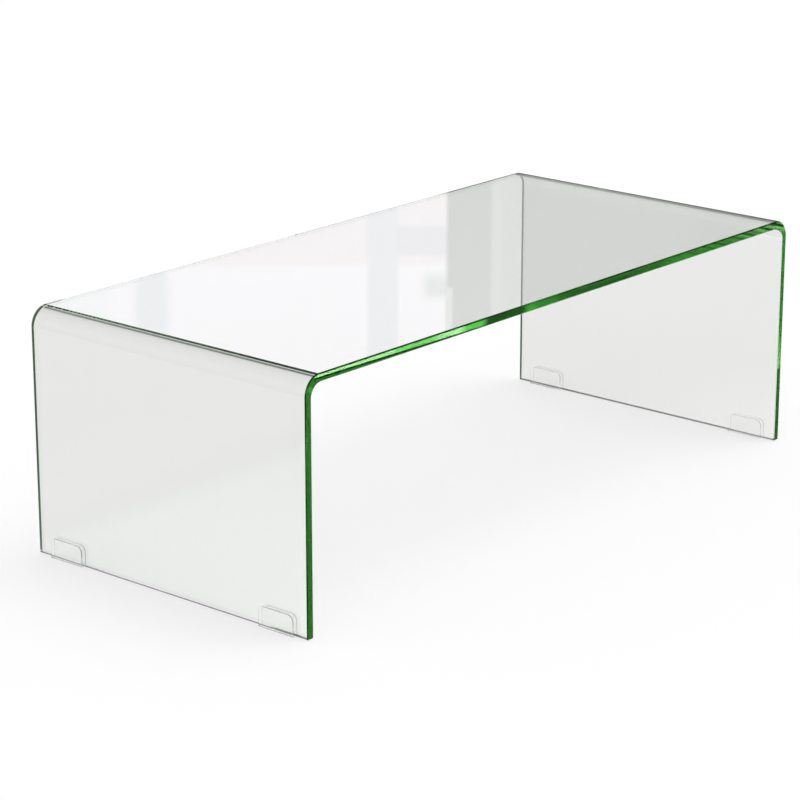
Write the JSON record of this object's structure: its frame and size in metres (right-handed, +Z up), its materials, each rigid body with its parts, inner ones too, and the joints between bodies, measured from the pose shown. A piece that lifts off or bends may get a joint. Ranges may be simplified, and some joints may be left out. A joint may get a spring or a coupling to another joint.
{
  "type": "waterfall coffee table",
  "caption": "Low coffee table of clear glass bent into an upside-down U, the top running over into solid side legs, on clear plastic clip-on foot pads.",
  "frame": {"origin": "on the floor, under the middle of the top", "axes": "+X along the length to the right leg, +Y across the depth to the rear, +Z up"},
  "size_m": [1.1128, 0.512, 0.3615],
  "materials": {
    "clear_glass": "polished clear float glass, green through its edges",
    "clear_plastic": "clear moulded plastic"
  },
  "bodies": {
    "root": {"bent_glass_panel": "clear_glass", "foot_pad_front_left": "clear_plastic", "foot_pad_rear_left": "clear_plastic", "foot_pad_front_right": "clear_plastic", "foot_pad_rear_right": "clear_plastic"}
  },
  "joints": []
}
